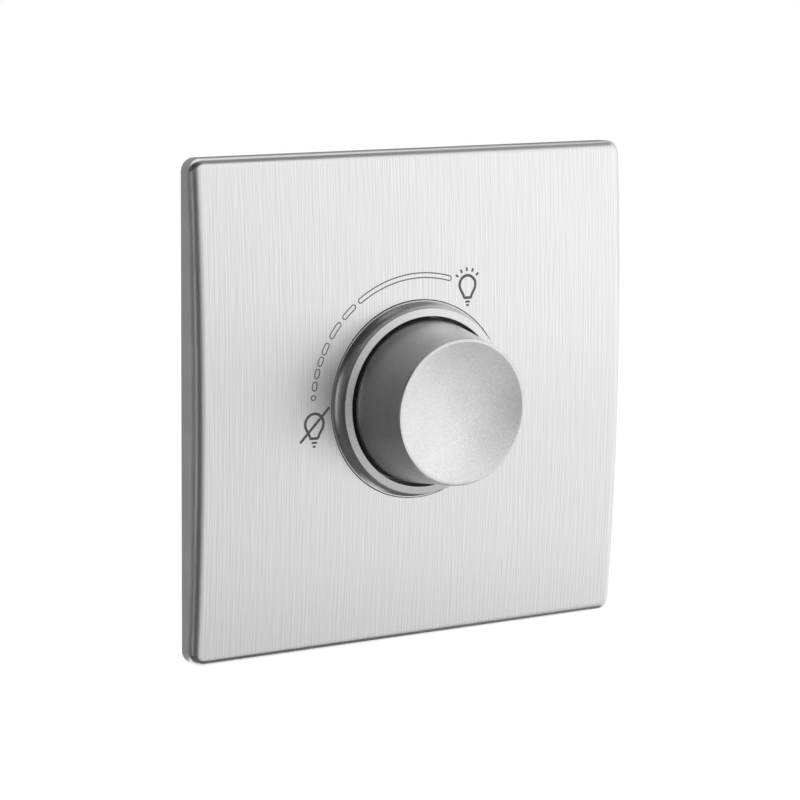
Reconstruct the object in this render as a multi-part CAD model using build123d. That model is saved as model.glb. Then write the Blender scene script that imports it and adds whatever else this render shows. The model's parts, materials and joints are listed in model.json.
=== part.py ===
from build123d import *
import math
import os

# Everything is in millimetres. Seen from the room, X runs to the right, Z up and Y into the wall.
# The wall's surface is the plane Y = 0, and the knob turns about the Y axis.

# Used by several pieces
MERGE = 0.3  # how far a boss, rib or post runs into what carries it
PAST = 1.0  # how far a cutting shape runs past what it cuts

# Cover plate: a pressed steel skin, bowed about its horizontal middle line, on a moulded carrier
PLATE_W = 90.0
PLATE_H = 90.0
PLATE_EDGE = 4.0  # from the wall to the front, at the top and bottom edges
PLATE_BOW = 2.0  # how much further the front stands out along its middle line
CORNER_R = 2.5
SKIN_T = 0.5
SKIN_ROLL_R = 1.8  # outer radius of the rolled edge
SKIN_RETURN = 2.0  # how far the rolled edge reaches back from the front
SEAM = 0.2  # shadow gap between the skin's return and the carrier's side wall
SEAM_STEP = 0.1  # the carrier's side wall stands this far inside the skin
BOND = 0.1  # adhesive film between skin and carrier
CARRIER_WALL = 1.6
PANEL_T = 1.6
RIB_T = 1.0
RIB_PITCH = 8.0
RIB_STOP = 0.4  # the ribs end this far short of the wall
PRY_W = 8.0  # notch in the bottom wall, where a blade lifts the cover off
PRY_DEPTH = 1.2

# Clips that hold the cover on the support frame
CLIP_X = 18.0
CLIP_W = 5.0
CLIP_T = 1.0
CLIP_CATCH = 0.6
CLIP_REACH = 2.2  # how far a clip's tip passes the back of the support frame
CLIP_ROOM = 2.0  # from the module's top or bottom to a clip
CLIP_PLAY = 0.15

# Collar ring around the knob
SKIN_HOLE_R = 18.2
COLLAR_RIM_R = 18.0
COLLAR_COVE_R = 17.82  # foot of the hollow flank
COLLAR_HOLLOW = 0.14  # how steeply the hollow flank starts under the top's edge
COLLAR_EDGE_R = 0.12
COLLAR_TOP_R = 17.0
COLLAR_BORE_R = 15.5
COLLAR_RISE = 2.7  # the top's outer edge above the middle of the plate
COLLAR_SLOPE = 0.3  # how much the top rises towards the bore
RIM_SINK = 0.1  # the rim lies this far below the middle of the plate
SEAT_SINK = 0.4  # depth of the collar's seat in the carrier's panel
SLEEVE_T = 1.1
SLEEVE_PLAY = 0.15
SLEEVE_REACH = 1.2  # how far the sleeve passes the back of the panel
SNAP_LIP = 0.55
SNAP_H = 0.8
SNAP_ARC = 30.0
SNAP_COUNT = 3

# Knob: a moulded cap with a dished face, on a D-shaped shaft
KNOB_FOOT_R = 14.9
KNOB_FACE_R = 13.15
KNOB_RISE = 15.0  # the rim of its face above the middle of the plate
KNOB_DISH = 2.0
KNOB_LAND = 0.6
KNOB_ROUND = 0.28
KNOB_WALL = 1.5
KNOB_SKIRT = 4.1  # how far the foot reaches below the collar's top
HUB_R = 4.6
HUB_RIBS = 6
SHAFT_R = 3.0
SHAFT_FLAT = 0.7
SHAFT_GRIP = 9.5  # length of the shaft's flat
SHAFT_CHAMFER = 0.5
SHAFT_TIP_ROOM = 0.4
HUB_PLAY = 0.05
KNOB_SPRING_T = 0.3
KNOB_SPRING_W = 3.0
KNOB_SPRING_L = 7.0

# Support frame: a pressed steel plate, screwed to the wall box
FRAME_W = 76.0
FRAME_H = 76.0
FRAME_T = 1.2
FRAME_R = 4.0
LIP_H = 1.4
LIP_T = 1.0
LIP_L = 50.0
BEAD_W = 2.4  # stiffening beads, pressed towards the room
BEAD_L = 20.0
BEAD_H = 0.6
BEAD_X = 33.5
BEAD_Z = 18.0
BEAD_SHEET = 0.4  # the hollow behind a bead is this much smaller all round
BOX_CENTRES = 60.3  # distance between the wall box's two screws
BOX_SCREW_R = 1.75
BOX_SCREW_L = 20.0
BOX_NECK_R = 1.45  # the shank is relieved where it passes the frame
BOX_HEAD_R = 3.2
BOX_HEAD_H = 1.9
BOX_DRIVER_W = 0.9
BOX_SLOT_W = 4.2
BOX_SLOT_L = 8.2

# Module behind the frame: a lid and a rear housing, screwed to the frame
LUG_ROOM = 6.15  # from a box screw's axis to the side of the module
MODULE_H = 60.0
MODULE_R = 3.0
MODULE_WALL = 1.6
FLOOR_T = 1.8
FLOOR_ROUND = 1.2
LID_T = 2.0
TONGUE_T = 1.2
TONGUE_H = 2.0
TONGUE_PLAY = 0.15
BOSS_R = 2.7
BOSS_LEDGE = 0.7
PILOT_R = 1.3
FRAME_SCREW_R = 1.25
FRAME_SCREW_L = 10.0
FRAME_HEAD_R = 2.3
FRAME_HEAD_H = 1.2
FRAME_DRIVER_W = 0.7
SCREW_HOLE_PLAY = 0.2
SCREW_POINT = 0.6  # length of a screw's point, as a share of its radius
HEAD_CROWN = 0.62  # radius of a head's flat crown, as a share of the head's
HEAD_SIDE = 0.45  # height of a head's straight side, as a share of the head's
DRIVER_DEPTH = 0.5  # depth of the driver slot, as a share of the head's height
POST_R = 1.5
POST_TOP_Z = 14.0
POST_LOW_Z = -4.0
VENT_W = 1.5
VENT_L = 15.0
VENT_PITCH = 4.0
VENT_COUNT = 7

# Rotary control: resistance track and power switch on one shaft
POT_R = 8.2
POT_D = 5.0
POT_SHEET = 0.6
BUSH_R = 3.5
BUSH_BORE_PLAY = 0.04
BUSH_FLANGE_R = 5.0
BUSH_FLANGE_T = 1.0
BUSH_PROUD = 1.0  # the bush ends this far above its nut
BUSH_LEAD_R = 0.25  # the bush's thread starts with a small cone
BUSH_LEAD_L = 0.4
NUT_T = 2.0
NUT_ACROSS = 10.0
NUT_CORNER = 0.5
WASHER_T = 0.5
WASHER_R = 5.6
SPIGOT_R = 2.0
ROTOR_R = 6.8
ROTOR_T = 1.2
STOP_W = 1.6  # the rotor's end stop
STOP_H = 0.5
WIPER_T = 0.2
WIPER_RING_W = 1.8
WIPER_ARM_W = 1.8
WIPER_TIP_W = 1.2
WIPER_END = 0.8  # the arm ends this far inside the rotor's rim
TRACK_R = 7.5
TRACK_T = 1.0
TRACK_BORE_PLAY = 0.3  # around the spigot
SWITCH_R = 6.2
SWITCH_D = 6.2
SWITCH_WALL = 0.8
CAM_R = 3.0
CAM_LOBE_R = 4.4
CAM_TIP_R = 1.2
CAM_T = 1.8
LEAF_W = 3.4
LEAF_T = 0.3
CONTACT_R = 0.35
CONTACT_ANGLE = 35.0  # from the top, where the cam's lobe stands at off
PIN_R = 0.4
PIN_SPREAD = 25.0  # angle between two pins of the track
RUN_PLAY = 0.1  # clearance between turning and fixed inner parts

# Circuit board and what it carries
BOARD_T = 1.6
BOARD_EDGE = 0.4
LEG_R = 0.3
LEG_ROOT = 1.0  # how far a leg runs up into its part
SQUARE_LEG_HOLE = 1.3  # a square leg's hole, against a round leg's
HOLE_PLAY = 0.15
TAIL = 1.0  # legs end this far behind the board
AXIAL_Z = 3.5  # height of the axial parts' middle
PART_GAP = 1.0
SINK_T = 1.5
SINK_W = 31.0
SINK_FIN = 7.0
SINK_BEND_R = 1.8  # outside of its two folds
TRIAC_W = 10.2
TRIAC_H = 15.4
TRIAC_BODY_H = 9.0
TRIAC_TAB_T = 1.3
TRIAC_BODY_T = 3.1
TRIAC_EDGE = 0.5
TRIAC_PITCH = 2.54
TRIAC_HOLE_R = 1.8
TRIAC_HOLE_DROP = 2.8  # from the tab's end to its hole
TRIAC_LEG_RISE = 1.2  # from the tab to the legs
TRIAC_SCREW_R = 1.4
TRIAC_HEAD_R = 2.7
TRIAC_HEAD_H = 1.8
TRIAC_DRIVER_W = 0.7
TRIAC_SCREW_SHORT = 0.4  # the screw ends this far inside the lid's front
CHOKE_R = 6.5
CHOKE_H = 9.0
CHOKE_CORE_R = 3.0
CHOKE_FLANGE_T = 1.2
CHOKE_WIND_R = 5.9
CAP_W = 13.0
CAP_T = 6.0
CAP_H = 10.5
CAP_ROUND = 0.8
CAP_PITCH = 10.0
FUSE_L = 20.0
FUSE_GLASS_R = 2.3
FUSE_GLASS_T = 0.4
FUSE_CAP_R = 2.6
FUSE_CAP_L = 4.6
FUSE_CAP_T = 0.3
FUSE_CLIP_T = 0.3
FUSE_CLIP_W = 3.6
FUSE_CLIP_MOUTH = 0.35  # height of the clip's mouth over its axis, as a share of its radius
FUSE_FOOT_W = 1.6
FUSE_LIFT = 3.4  # from the board to the fuse's axis
RESISTOR_R = 1.25
RESISTOR_L = 6.4
RESISTOR_WAIST = 0.86  # between its two bulbs, as a share of its radius
BULB_L = 0.28  # length of a bulb, as a share of the part's
BULB_STEP = 0.4
DIAC_R = 0.95
DIAC_L = 4.0
SMALL_CAP_W = 7.2
SMALL_CAP_T = 2.6
SMALL_CAP_H = 6.5
SMALL_CAP_ROUND = 0.7
SMALL_CAP_PITCH = 5.0
LEAD_STUB = 1.6  # an axial part's lead runs this far out before it turns to the board

# Terminals
TERMINAL_COUNT = 3
TERMINAL_PITCH = 11.0
PILLAR_W = 7.5
PILLAR_H = 9.0
PILLAR_D = 7.6
PILLAR_EDGE = 0.5
WIRE_R = 1.7
WIRE_ROOM = 0.7
WIRE_FLOOR = 1.3  # brass between the wire's bore and the board
STUB_R = 0.8
STUB_DROP = 1.2  # from the pillar's top to its solder stub
BARRIER_T = 1.0
TERMINAL_SCREW_R = 1.5
TERMINAL_HEAD_R = 2.6
TERMINAL_HEAD_H = 1.4
TERMINAL_DRIVER_W = 0.8
TERMINAL_LIFT = 0.3  # the open screw's head stands this far off its pillar
THREAD_PLAY = 0.05

# Places that follow from the sizes
mid_front = -(PLATE_EDGE + PLATE_BOW)
bow_r = (PLATE_H**2 / 4 + PLATE_BOW**2) / (2 * PLATE_BOW)
panel_front = SKIN_T + BOND  # depths behind the plate's front
panel_back = panel_front + PANEL_T
collar_top = mid_front - COLLAR_RISE
collar_seat = mid_front + panel_front + SEAT_SINK
sleeve_end = mid_front + panel_back + SLEEVE_REACH
knob_face = mid_front - KNOB_RISE
knob_foot = collar_top + KNOB_SKIRT
shaft_tip = knob_face + KNOB_DISH + KNOB_WALL + SHAFT_TIP_ROOM
hub_end = shaft_tip + SHAFT_GRIP

module_w = BOX_CENTRES - 2 * LUG_ROOM
inner_x = module_w / 2 - MODULE_WALL
inner_z = MODULE_H / 2 - MODULE_WALL
boss_x = inner_x - BOSS_R + MERGE
boss_z = inner_z - BOSS_R + MERGE
clip_z = MODULE_H / 2 + CLIP_ROOM

pot_back = LID_T + POT_D
switch_back = pot_back + SWITCH_D
board_front = switch_back
board_back = board_front + BOARD_T
leg_end = board_back + TAIL
rotor_front = LID_T + POT_SHEET + BUSH_FLANGE_T + RUN_PLAY
wiper_front = rotor_front + ROTOR_T
track_front = wiper_front + WIPER_T + 2 * RUN_PLAY
spigot_end = pot_back + SWITCH_WALL + RUN_PLAY + CAM_T + RUN_PLAY
bush_end = -(FRAME_T + WASHER_T + NUT_T + BUSH_PROUD)

fuse_y = board_front - FUSE_LIFT
fuse_clip_r = FUSE_CAP_R + FUSE_CLIP_T
fuse_z = -(inner_z - TONGUE_T - TONGUE_PLAY - PART_GAP / 2 - fuse_clip_r)
choke_x = inner_x - TONGUE_T - TONGUE_PLAY - PART_GAP / 2 - CHOKE_R
choke_z = fuse_z + fuse_clip_r + PART_GAP + CHOKE_R
cap_x = -(inner_x - TONGUE_T - TONGUE_PLAY - PART_GAP / 2 - CAP_W / 2)
cap_z = fuse_z + fuse_clip_r + PART_GAP + CAP_T / 2
resistor_x = inner_x - TONGUE_T - TONGUE_PLAY - PART_GAP - RESISTOR_R
diac_x = POT_R + PART_GAP * 2 + DIAC_R
small_cap_x = -(POT_R + PART_GAP * 2 + SMALL_CAP_T / 2)
post_x = inner_x - TONGUE_PLAY - POST_R

sink_top = inner_z - TONGUE_T - TONGUE_PLAY - PART_GAP / 2
sink_low = POT_R + PART_GAP
triac_tab_y = LID_T + SINK_T
triac_body_y = triac_tab_y + TRIAC_TAB_T
triac_top = sink_top - PART_GAP / 2
triac_low = triac_top - TRIAC_H
triac_hole_z = triac_top - TRIAC_HOLE_DROP
triac_leg_y = triac_body_y + TRIAC_LEG_RISE
triac_leg_z = triac_low - PART_GAP / 2

pillar_low = -(inner_z - PART_GAP)
pillar_top = pillar_low + PILLAR_H
pillar_z = (pillar_low + pillar_top) / 2
pillar_back = board_back + PILLAR_D
wire_y = board_back + WIRE_R + WIRE_FLOOR
terminal_head_y = pillar_back + TERMINAL_LIFT
floor_y = terminal_head_y + TERMINAL_HEAD_H + TERMINAL_LIFT
pillar_stub_z = pillar_top - STUB_DROP
module_back = floor_y + FLOOR_T
terminal_xs = [(i - (TERMINAL_COUNT - 1) / 2) * TERMINAL_PITCH for i in range(TERMINAL_COUNT)]
corners = [(sx, sz) for sx in (-1, 1) for sz in (-1, 1)]


def block(x0, x1, y0, y1, z0, z1):
    """A box between two corners."""
    return Pos((x0 + x1) / 2, (y0 + y1) / 2, (z0 + z1) / 2) * Box(x1 - x0, y1 - y0, z1 - z0)


def rod(radius, y0, y1, x=0, z=0):
    """A round bar along Y."""
    return Pos(x, (y0 + y1) / 2, z) * Rot(90, 0, 0) * Cylinder(radius, y1 - y0)


def rod_z(radius, z0, z1, x=0, y=0):
    """A round bar along Z."""
    return Pos(x, y, (z0 + z1) / 2) * Cylinder(radius, z1 - z0)


def rod_x(radius, x0, x1, y=0, z=0):
    """A round bar along X."""
    return Pos((x0 + x1) / 2, y, z) * Rot(0, 90, 0) * Cylinder(radius, x1 - x0)


def turned(points):
    """A solid turned about the Y axis, from a closed outline of (radius, y) points."""
    return revolve(make_face(Polyline(*points, close=True)), Axis.Y)


def slab(sketch, y0, y1):
    """A sketch drawn in X and Z, made a plate between two depths."""
    return extrude(Plane((0, y1, 0), x_dir=(1, 0, 0), z_dir=(0, -1, 0)) * sketch, y1 - y0)


def front_at(z):
    """Depth of the plate's front at a height."""
    return mid_front + bow_r - math.sqrt(bow_r**2 - z**2)


def bowed_block(width, height, corner, depth, back=0.0):
    """A block from a plane up to a surface that lies some depth behind the plate's front."""
    half = height / 2
    edge = front_at(half) + depth
    outline = [
        Line((edge, -half), (back, -half)),
        Line((back, -half), (back, half)),
        Line((back, half), (edge, half)),
        ThreePointArc((edge, half), (mid_front + depth, 0), (edge, -half)),
    ]
    solid = extrude(Plane.YZ * make_face(outline), width / 2, both=True)
    return fillet(solid.edges().filter_by(Axis.Y), corner)


def rolled(solid, radius):
    """Rounds the edge around the front."""
    return fillet(solid.faces().sort_by(Axis.Y)[0].edges(), radius)


def make_cover_skin():
    """Pressed sheet: a bowed face, rounded corners and an edge rolled back all round."""
    outer = rolled(bowed_block(PLATE_W, PLATE_H, CORNER_R, 0), SKIN_ROLL_R)
    inner = rolled(
        bowed_block(PLATE_W - 2 * SKIN_T, PLATE_H - 2 * SKIN_T, CORNER_R - SKIN_T, SKIN_T),
        SKIN_ROLL_R - SKIN_T,
    )
    behind = bowed_block(PLATE_W + PAST, PLATE_H + PAST, CORNER_R, SKIN_RETURN, back=PAST)
    hole = rod(SKIN_HOLE_R, mid_front - PAST, 0)
    return outer - inner - behind - hole


def carrier_ribs(hollow_w, hollow_h):
    """Short stiffening ribs around the tray, between its side wall and the support frame."""
    ribs = []
    half = RIB_T / 2
    rows = int((hollow_h / 2 - CORNER_R) // RIB_PITCH)
    columns = int((hollow_w / 2 - CORNER_R) // RIB_PITCH)
    for sign in (-1, 1):
        near = sign * (FRAME_W / 2 + PART_GAP)
        far = sign * (hollow_w / 2 + half)
        for i in range(-rows, rows + 1):
            z = i * RIB_PITCH
            ribs.append(block(min(near, far), max(near, far), mid_front, -RIB_STOP, z - half, z + half))
        near = sign * (FRAME_H / 2 + PART_GAP)
        far = sign * (hollow_h / 2 + half)
        for i in range(-columns, columns + 1):
            x = i * RIB_PITCH
            ribs.append(block(x - half, x + half, mid_front, -RIB_STOP, min(near, far), max(near, far)))
    return ribs


def cover_clip(x, sign):
    """A springy hook that drops through the frame and catches behind it."""
    root = clip_z
    outer = clip_z + CLIP_T
    catch = outer + CLIP_CATCH
    points = [
        (mid_front, root),
        (CLIP_REACH, root),
        (CLIP_REACH, outer - CLIP_T / 4),
        (CLIP_PLAY + CLIP_CATCH, catch),
        (CLIP_PLAY, catch),
        (CLIP_PLAY, outer),
        (mid_front, outer),
    ]
    outline = make_face(Polyline(*[(y, sign * z) for y, z in points], close=True))
    return Pos(x, 0, 0) * extrude(Plane.YZ * outline, CLIP_W / 2, both=True)


def make_cover_carrier():
    """Moulded tray: side wall behind the seam, bowed panel under the skin, ribs and four clips."""
    step = 2 * SEAM_STEP
    wall = bowed_block(PLATE_W - step, PLATE_H - step, CORNER_R - SEAM_STEP, SKIN_RETURN + SEAM)
    inset = 2 * panel_front
    panel = rolled(
        bowed_block(PLATE_W - inset, PLATE_H - inset, CORNER_R - panel_front, panel_front),
        SKIN_ROLL_R - panel_front,
    )
    hollow_w = PLATE_W - step - 2 * CARRIER_WALL
    hollow_h = PLATE_H - step - 2 * CARRIER_WALL
    hollow = bowed_block(hollow_w, hollow_h, CORNER_R - SEAM_STEP - CARRIER_WALL, panel_back)
    tray = wall + panel - hollow
    fittings = carrier_ribs(hollow_w, hollow_h)
    fittings += [cover_clip(sx * CLIP_X, sz) for sx, sz in corners]
    behind_panel = bowed_block(PLATE_W, PLATE_H, CORNER_R, panel_back - PANEL_T / 2, back=CLIP_REACH + PAST)
    for fitting in fittings:
        tray += fitting & behind_panel
    bottom = -PLATE_H / 2
    pry = block(-PRY_W / 2, PRY_W / 2, -PRY_DEPTH, PAST, bottom, bottom + SEAM_STEP + CARRIER_WALL)
    seat = rod(SKIN_HOLE_R, mid_front - PAST, collar_seat)
    hole = rod(COLLAR_BORE_R + SLEEVE_T + SLEEVE_PLAY, mid_front, 0)
    return tray - pry - seat - hole


def make_collar_ring():
    """Turned form: rim, hollow flank, sloping top and a sleeve with snap lips behind the panel."""
    rim = mid_front + RIM_SINK
    sleeve_r = COLLAR_BORE_R + SLEEVE_T
    hollow = (COLLAR_TOP_R + COLLAR_HOLLOW, (collar_top + rim) / 2 + COLLAR_RISE / 6)
    outline = [
        Line((COLLAR_BORE_R, sleeve_end), (COLLAR_BORE_R, collar_top - COLLAR_SLOPE)),
        Line((COLLAR_BORE_R, collar_top - COLLAR_SLOPE), (COLLAR_TOP_R, collar_top)),
        ThreePointArc((COLLAR_TOP_R, collar_top), hollow, (COLLAR_COVE_R, rim)),
        Line((COLLAR_COVE_R, rim), (COLLAR_RIM_R, rim)),
        Line((COLLAR_RIM_R, rim), (COLLAR_RIM_R, collar_seat)),
        Line((COLLAR_RIM_R, collar_seat), (sleeve_r, collar_seat)),
        Line((sleeve_r, collar_seat), (sleeve_r, sleeve_end)),
        Line((sleeve_r, sleeve_end), (COLLAR_BORE_R, sleeve_end)),
    ]
    ring = revolve(make_face(outline), Axis.Y)
    lip = turned(
        [
            (sleeve_r - MERGE, sleeve_end - SNAP_H),
            (sleeve_r + SNAP_LIP, sleeve_end - SNAP_H),
            (sleeve_r + SNAP_LIP, sleeve_end - SNAP_H / 2),
            (sleeve_r - MERGE, sleeve_end),
        ]
    )
    for i in range(SNAP_COUNT):
        ring += lip & snap_sector(90 + i * 360 / SNAP_COUNT)
    top_edges = ring.edges().filter_by(GeomType.CIRCLE).sort_by(Axis.Y)[:2]
    return fillet(top_edges, COLLAR_EDGE_R)


def snap_sector(angle):
    """A wedge around the Y axis that keeps one snap lip."""
    reach = COLLAR_RIM_R * 1.2
    a0 = math.radians(angle - SNAP_ARC / 2)
    a1 = math.radians(angle + SNAP_ARC / 2)
    tip = [(0, 0), (reach * math.cos(a0), reach * math.sin(a0)), (reach * math.cos(a1), reach * math.sin(a1))]
    return slab(make_face(Polyline(*tip, close=True)), mid_front, 0)


def knob_form(inset, foot):
    """The knob's outside, or its hollow when inset by the wall: skirt, taper and dished face."""
    dish_edge = KNOB_FACE_R - KNOB_LAND
    dish_r = (dish_edge**2 + KNOB_DISH**2) / (2 * KNOB_DISH)
    face = knob_face + inset
    half = dish_edge / 2
    half_y = face + KNOB_DISH - (dish_r - math.sqrt(dish_r**2 - half**2))
    outline = [
        Line((0, foot), (KNOB_FOOT_R - inset, foot)),
        Line((KNOB_FOOT_R - inset, foot), (KNOB_FOOT_R - inset, collar_top)),
        Line((KNOB_FOOT_R - inset, collar_top), (KNOB_FACE_R - inset, face)),
        Line((KNOB_FACE_R - inset, face), (dish_edge - inset / 2, face)),
        ThreePointArc((dish_edge - inset / 2, face), (half, half_y), (0, face + KNOB_DISH)),
        Line((0, face + KNOB_DISH), (0, foot)),
    ]
    return revolve(make_face(outline), Axis.Y)


def make_knob():
    """Hollow cap with a hub, a D-shaped bore with room for its spring, and ribs to the skirt."""
    outside = knob_form(0, knob_foot)
    rim = outside.edges().filter_by(GeomType.CIRCLE).sort_by(Axis.Y)[:2]
    cap = fillet(rim, KNOB_ROUND) - knob_form(KNOB_WALL, knob_foot + PAST)
    middle = knob_form(KNOB_WALL / 2, knob_foot)
    ribs_end = (hub_end + shaft_tip) / 2
    for i in range(HUB_RIBS // 2):
        rib = block(-KNOB_FOOT_R, KNOB_FOOT_R, knob_face, ribs_end, -RIB_T / 2, RIB_T / 2)
        cap += Rot(0, 90 + i * 360 / HUB_RIBS, 0) * rib & middle
    cap += rod(HUB_R, knob_face, hub_end) & middle
    bore_r = SHAFT_R + HUB_PLAY
    bore = rod(bore_r, shaft_tip - SHAFT_TIP_ROOM / 2, hub_end + PAST)
    flat = SHAFT_R - SHAFT_FLAT + KNOB_SPRING_T + 2 * HUB_PLAY
    bore -= block(-SHAFT_R * 2, SHAFT_R * 2, knob_face, hub_end + PAST, flat, SHAFT_R * 2)
    return cap - bore


def make_knob_spring():
    """Flat spring that presses on the shaft's flat."""
    low = SHAFT_R - SHAFT_FLAT + HUB_PLAY
    y0 = shaft_tip + SHAFT_TIP_ROOM
    half = KNOB_SPRING_W / 2
    return block(-half, half, y0, y0 + KNOB_SPRING_L, low, low + KNOB_SPRING_T)


def make_shaft():
    """Turned shaft with a flat for the knob and a spigot for the rotor and the cam."""
    shaft = turned(
        [
            (0, shaft_tip),
            (SHAFT_R - SHAFT_CHAMFER, shaft_tip),
            (SHAFT_R, shaft_tip + SHAFT_CHAMFER),
            (SHAFT_R, rotor_front),
            (SPIGOT_R, rotor_front),
            (SPIGOT_R, spigot_end),
            (0, spigot_end),
        ]
    )
    flat = SHAFT_R - SHAFT_FLAT
    return shaft - block(-SHAFT_R, SHAFT_R, shaft_tip, hub_end, flat, SHAFT_R + PAST)


def make_bush():
    """Bush with a flange inside the can; the shaft turns in its bore."""
    bore = SHAFT_R + BUSH_BORE_PLAY
    flange = LID_T + POT_SHEET
    points = [
        (bore, bush_end),
        (BUSH_R - BUSH_LEAD_R, bush_end),
        (BUSH_R, bush_end + BUSH_LEAD_L),
        (BUSH_R, flange),
        (BUSH_FLANGE_R, flange),
        (BUSH_FLANGE_R, flange + BUSH_FLANGE_T),
        (bore, flange + BUSH_FLANGE_T),
    ]
    return turned(points)


def make_bush_nut():
    """Hexagon nut in front of the frame, with its corners turned off."""
    y1 = -(FRAME_T + WASHER_T)
    y0 = y1 - NUT_T
    hexagon = slab(RegularPolygon(NUT_ACROSS / 2, 6, major_radius=False), y0, y1)
    corner_r = NUT_ACROSS / math.sqrt(3)
    shoulder = y0 + NUT_CORNER
    cone = turned([(0, y0), (corner_r - NUT_CORNER, y0), (corner_r, shoulder), (corner_r, y1), (0, y1)])
    return (hexagon & cone) - rod(BUSH_R + THREAD_PLAY, y0 - PAST, y1 + PAST)


def make_bush_washer():
    """Plain washer under the nut."""
    y0 = -(FRAME_T + WASHER_T)
    return rod(WASHER_R, y0, -FRAME_T) - rod(BUSH_R + THREAD_PLAY * 2, y0 - PAST, 0)


def make_pot_can():
    """Drawn can around the track: a front with the bush's hole, and an open back."""
    can = rod(POT_R, LID_T, pot_back) - rod(POT_R - POT_SHEET, LID_T + POT_SHEET, pot_back + PAST)
    return can - rod(BUSH_R + THREAD_PLAY, 0, pot_back)


def pin_places():
    """The three solder pins of the resistance track, below the switch."""
    radius = (SWITCH_R + POT_R - POT_SHEET) / 2
    angles = [math.radians(i * PIN_SPREAD) for i in (-1, 0, 1)]
    return [(radius * math.sin(a), -radius * math.cos(a)) for a in angles]


def make_pot_track():
    """Resistance wafer with three solder pins."""
    track = rod(TRACK_R, track_front, track_front + TRACK_T)
    track -= rod(SPIGOT_R + TRACK_BORE_PLAY, track_front - PAST, pot_back)
    for x, z in pin_places():
        track += rod(PIN_R, track_front + TRACK_T / 2, leg_end, x, z)
    return track


def make_pot_rotor():
    """Moulded disc on the spigot that carries the wiper."""
    disc = rod(ROTOR_R, rotor_front, wiper_front) - rod(SPIGOT_R, rotor_front - PAST, wiper_front + PAST)
    half = STOP_W / 2
    stop = block(-half, half, rotor_front, wiper_front, ROTOR_R - STOP_H, ROTOR_R + STOP_H)
    return disc + stop


def make_pot_wiper():
    """Spring contact: a ring on the rotor with one arm and a bent tip towards the track."""
    back = wiper_front + WIPER_T
    ring = rod(SPIGOT_R + WIPER_RING_W, wiper_front, back)
    half = WIPER_ARM_W / 2
    arm = block(-half, half, wiper_front, back, SPIGOT_R, ROTOR_R - WIPER_END)
    tip_half = WIPER_TIP_W / 2
    tip = rod_x(RUN_PLAY, -tip_half, tip_half, back, ROTOR_R - 2 * WIPER_END)
    return ring + arm + tip - rod(SPIGOT_R, wiper_front - PAST, wiper_front + PAST)


def make_switch_case():
    """Moulded cup behind the can, closing it with a flange that the pins pass."""
    flange = rod(POT_R - POT_SHEET - RUN_PLAY, track_front + TRACK_T, pot_back)
    flange += rod(POT_R, pot_back, pot_back + SWITCH_WALL)
    cup = rod(SWITCH_R, pot_back, switch_back)
    cup -= rod(SWITCH_R - SWITCH_WALL, pot_back + SWITCH_WALL, switch_back + PAST)
    case = flange + cup - rod(SPIGOT_R + 2 * RUN_PLAY, 0, switch_back)
    for x, z in pin_places():
        case -= rod(PIN_R + RUN_PLAY, 0, switch_back, x, z)
    return case


def make_switch_cam():
    """Cam on the spigot; at off its lobe stands up and holds the contact open."""
    y0 = pot_back + SWITCH_WALL + RUN_PLAY
    y1 = y0 + CAM_T
    lobe = Pos(0, CAM_LOBE_R - CAM_TIP_R) * Circle(CAM_TIP_R)
    outline = make_hull((Circle(CAM_R) + lobe).edges())
    return slab(outline, y0, y1) - rod(SPIGOT_R, y0 - PAST, y1 + PAST)


def make_switch_leaf():
    """Contact spring above the cam, with its leg through the board."""
    low = CAM_LOBE_R + RUN_PLAY * 2
    y0 = pot_back + SWITCH_WALL
    return block(-LEAF_W / 2, LEAF_W / 2, y0, switch_back, low, low + LEAF_T) + block(
        -PIN_R, PIN_R, y0, leg_end, low, low + LEAF_T
    )


def contact_place():
    """The fixed contact's post, beside the leaf and clear of the lobe."""
    radius = (CAM_LOBE_R + SWITCH_R - SWITCH_WALL) / 2
    angle = math.radians(CONTACT_ANGLE)
    return radius * math.sin(angle), radius * math.cos(angle)


def make_switch_contact():
    x, z = contact_place()
    return rod(CONTACT_R, pot_back + SWITCH_WALL, leg_end, x, z)


def box_slot():
    """Slot for a wall-box screw, long enough to level the frame."""
    return SlotOverall(BOX_SLOT_L, BOX_SLOT_W)


def make_support_frame():
    """Pressed plate with level slots, clip slots, screw holes, turned-up side lips and four beads."""
    plate = RectangleRounded(FRAME_W, FRAME_H, FRAME_R) - Circle(BUSH_R + THREAD_PLAY * 2)
    for sign in (-1, 1):
        plate -= Pos(sign * BOX_CENTRES / 2, 0) * Rot(0, 0, 90) * box_slot()
    for sx, sz in corners:
        plate -= Pos(sx * boss_x, sz * boss_z) * Circle(FRAME_SCREW_R + SCREW_HOLE_PLAY)
        slot_h = CLIP_T + CLIP_CATCH + 2 * CLIP_PLAY
        slot_low = clip_z - CLIP_CATCH - CLIP_PLAY
        plate -= Pos(sx * CLIP_X, sz * (slot_low + slot_h / 2)) * Rectangle(CLIP_W + 4 * CLIP_PLAY, slot_h)
    frame = slab(plate, -FRAME_T, 0)
    for sign in (-1, 1):
        inner = sign * (FRAME_W / 2 - LIP_T)
        outer = sign * FRAME_W / 2
        lip = block(min(inner, outer), max(inner, outer), -FRAME_T - LIP_H, 0, -LIP_L / 2, LIP_L / 2)
        frame += lip
    for sx, sz in corners:
        place = Pos(sx * BEAD_X, sz * BEAD_Z) * Rot(0, 0, 90)
        frame += slab(place * SlotOverall(BEAD_L, BEAD_W), -FRAME_T - BEAD_H, -FRAME_T / 2)
        hollow = SlotOverall(BEAD_L - 2 * BEAD_SHEET, BEAD_W - 2 * BEAD_SHEET)
        frame -= slab(place * hollow, -BEAD_H, PAST)
    return frame


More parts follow.
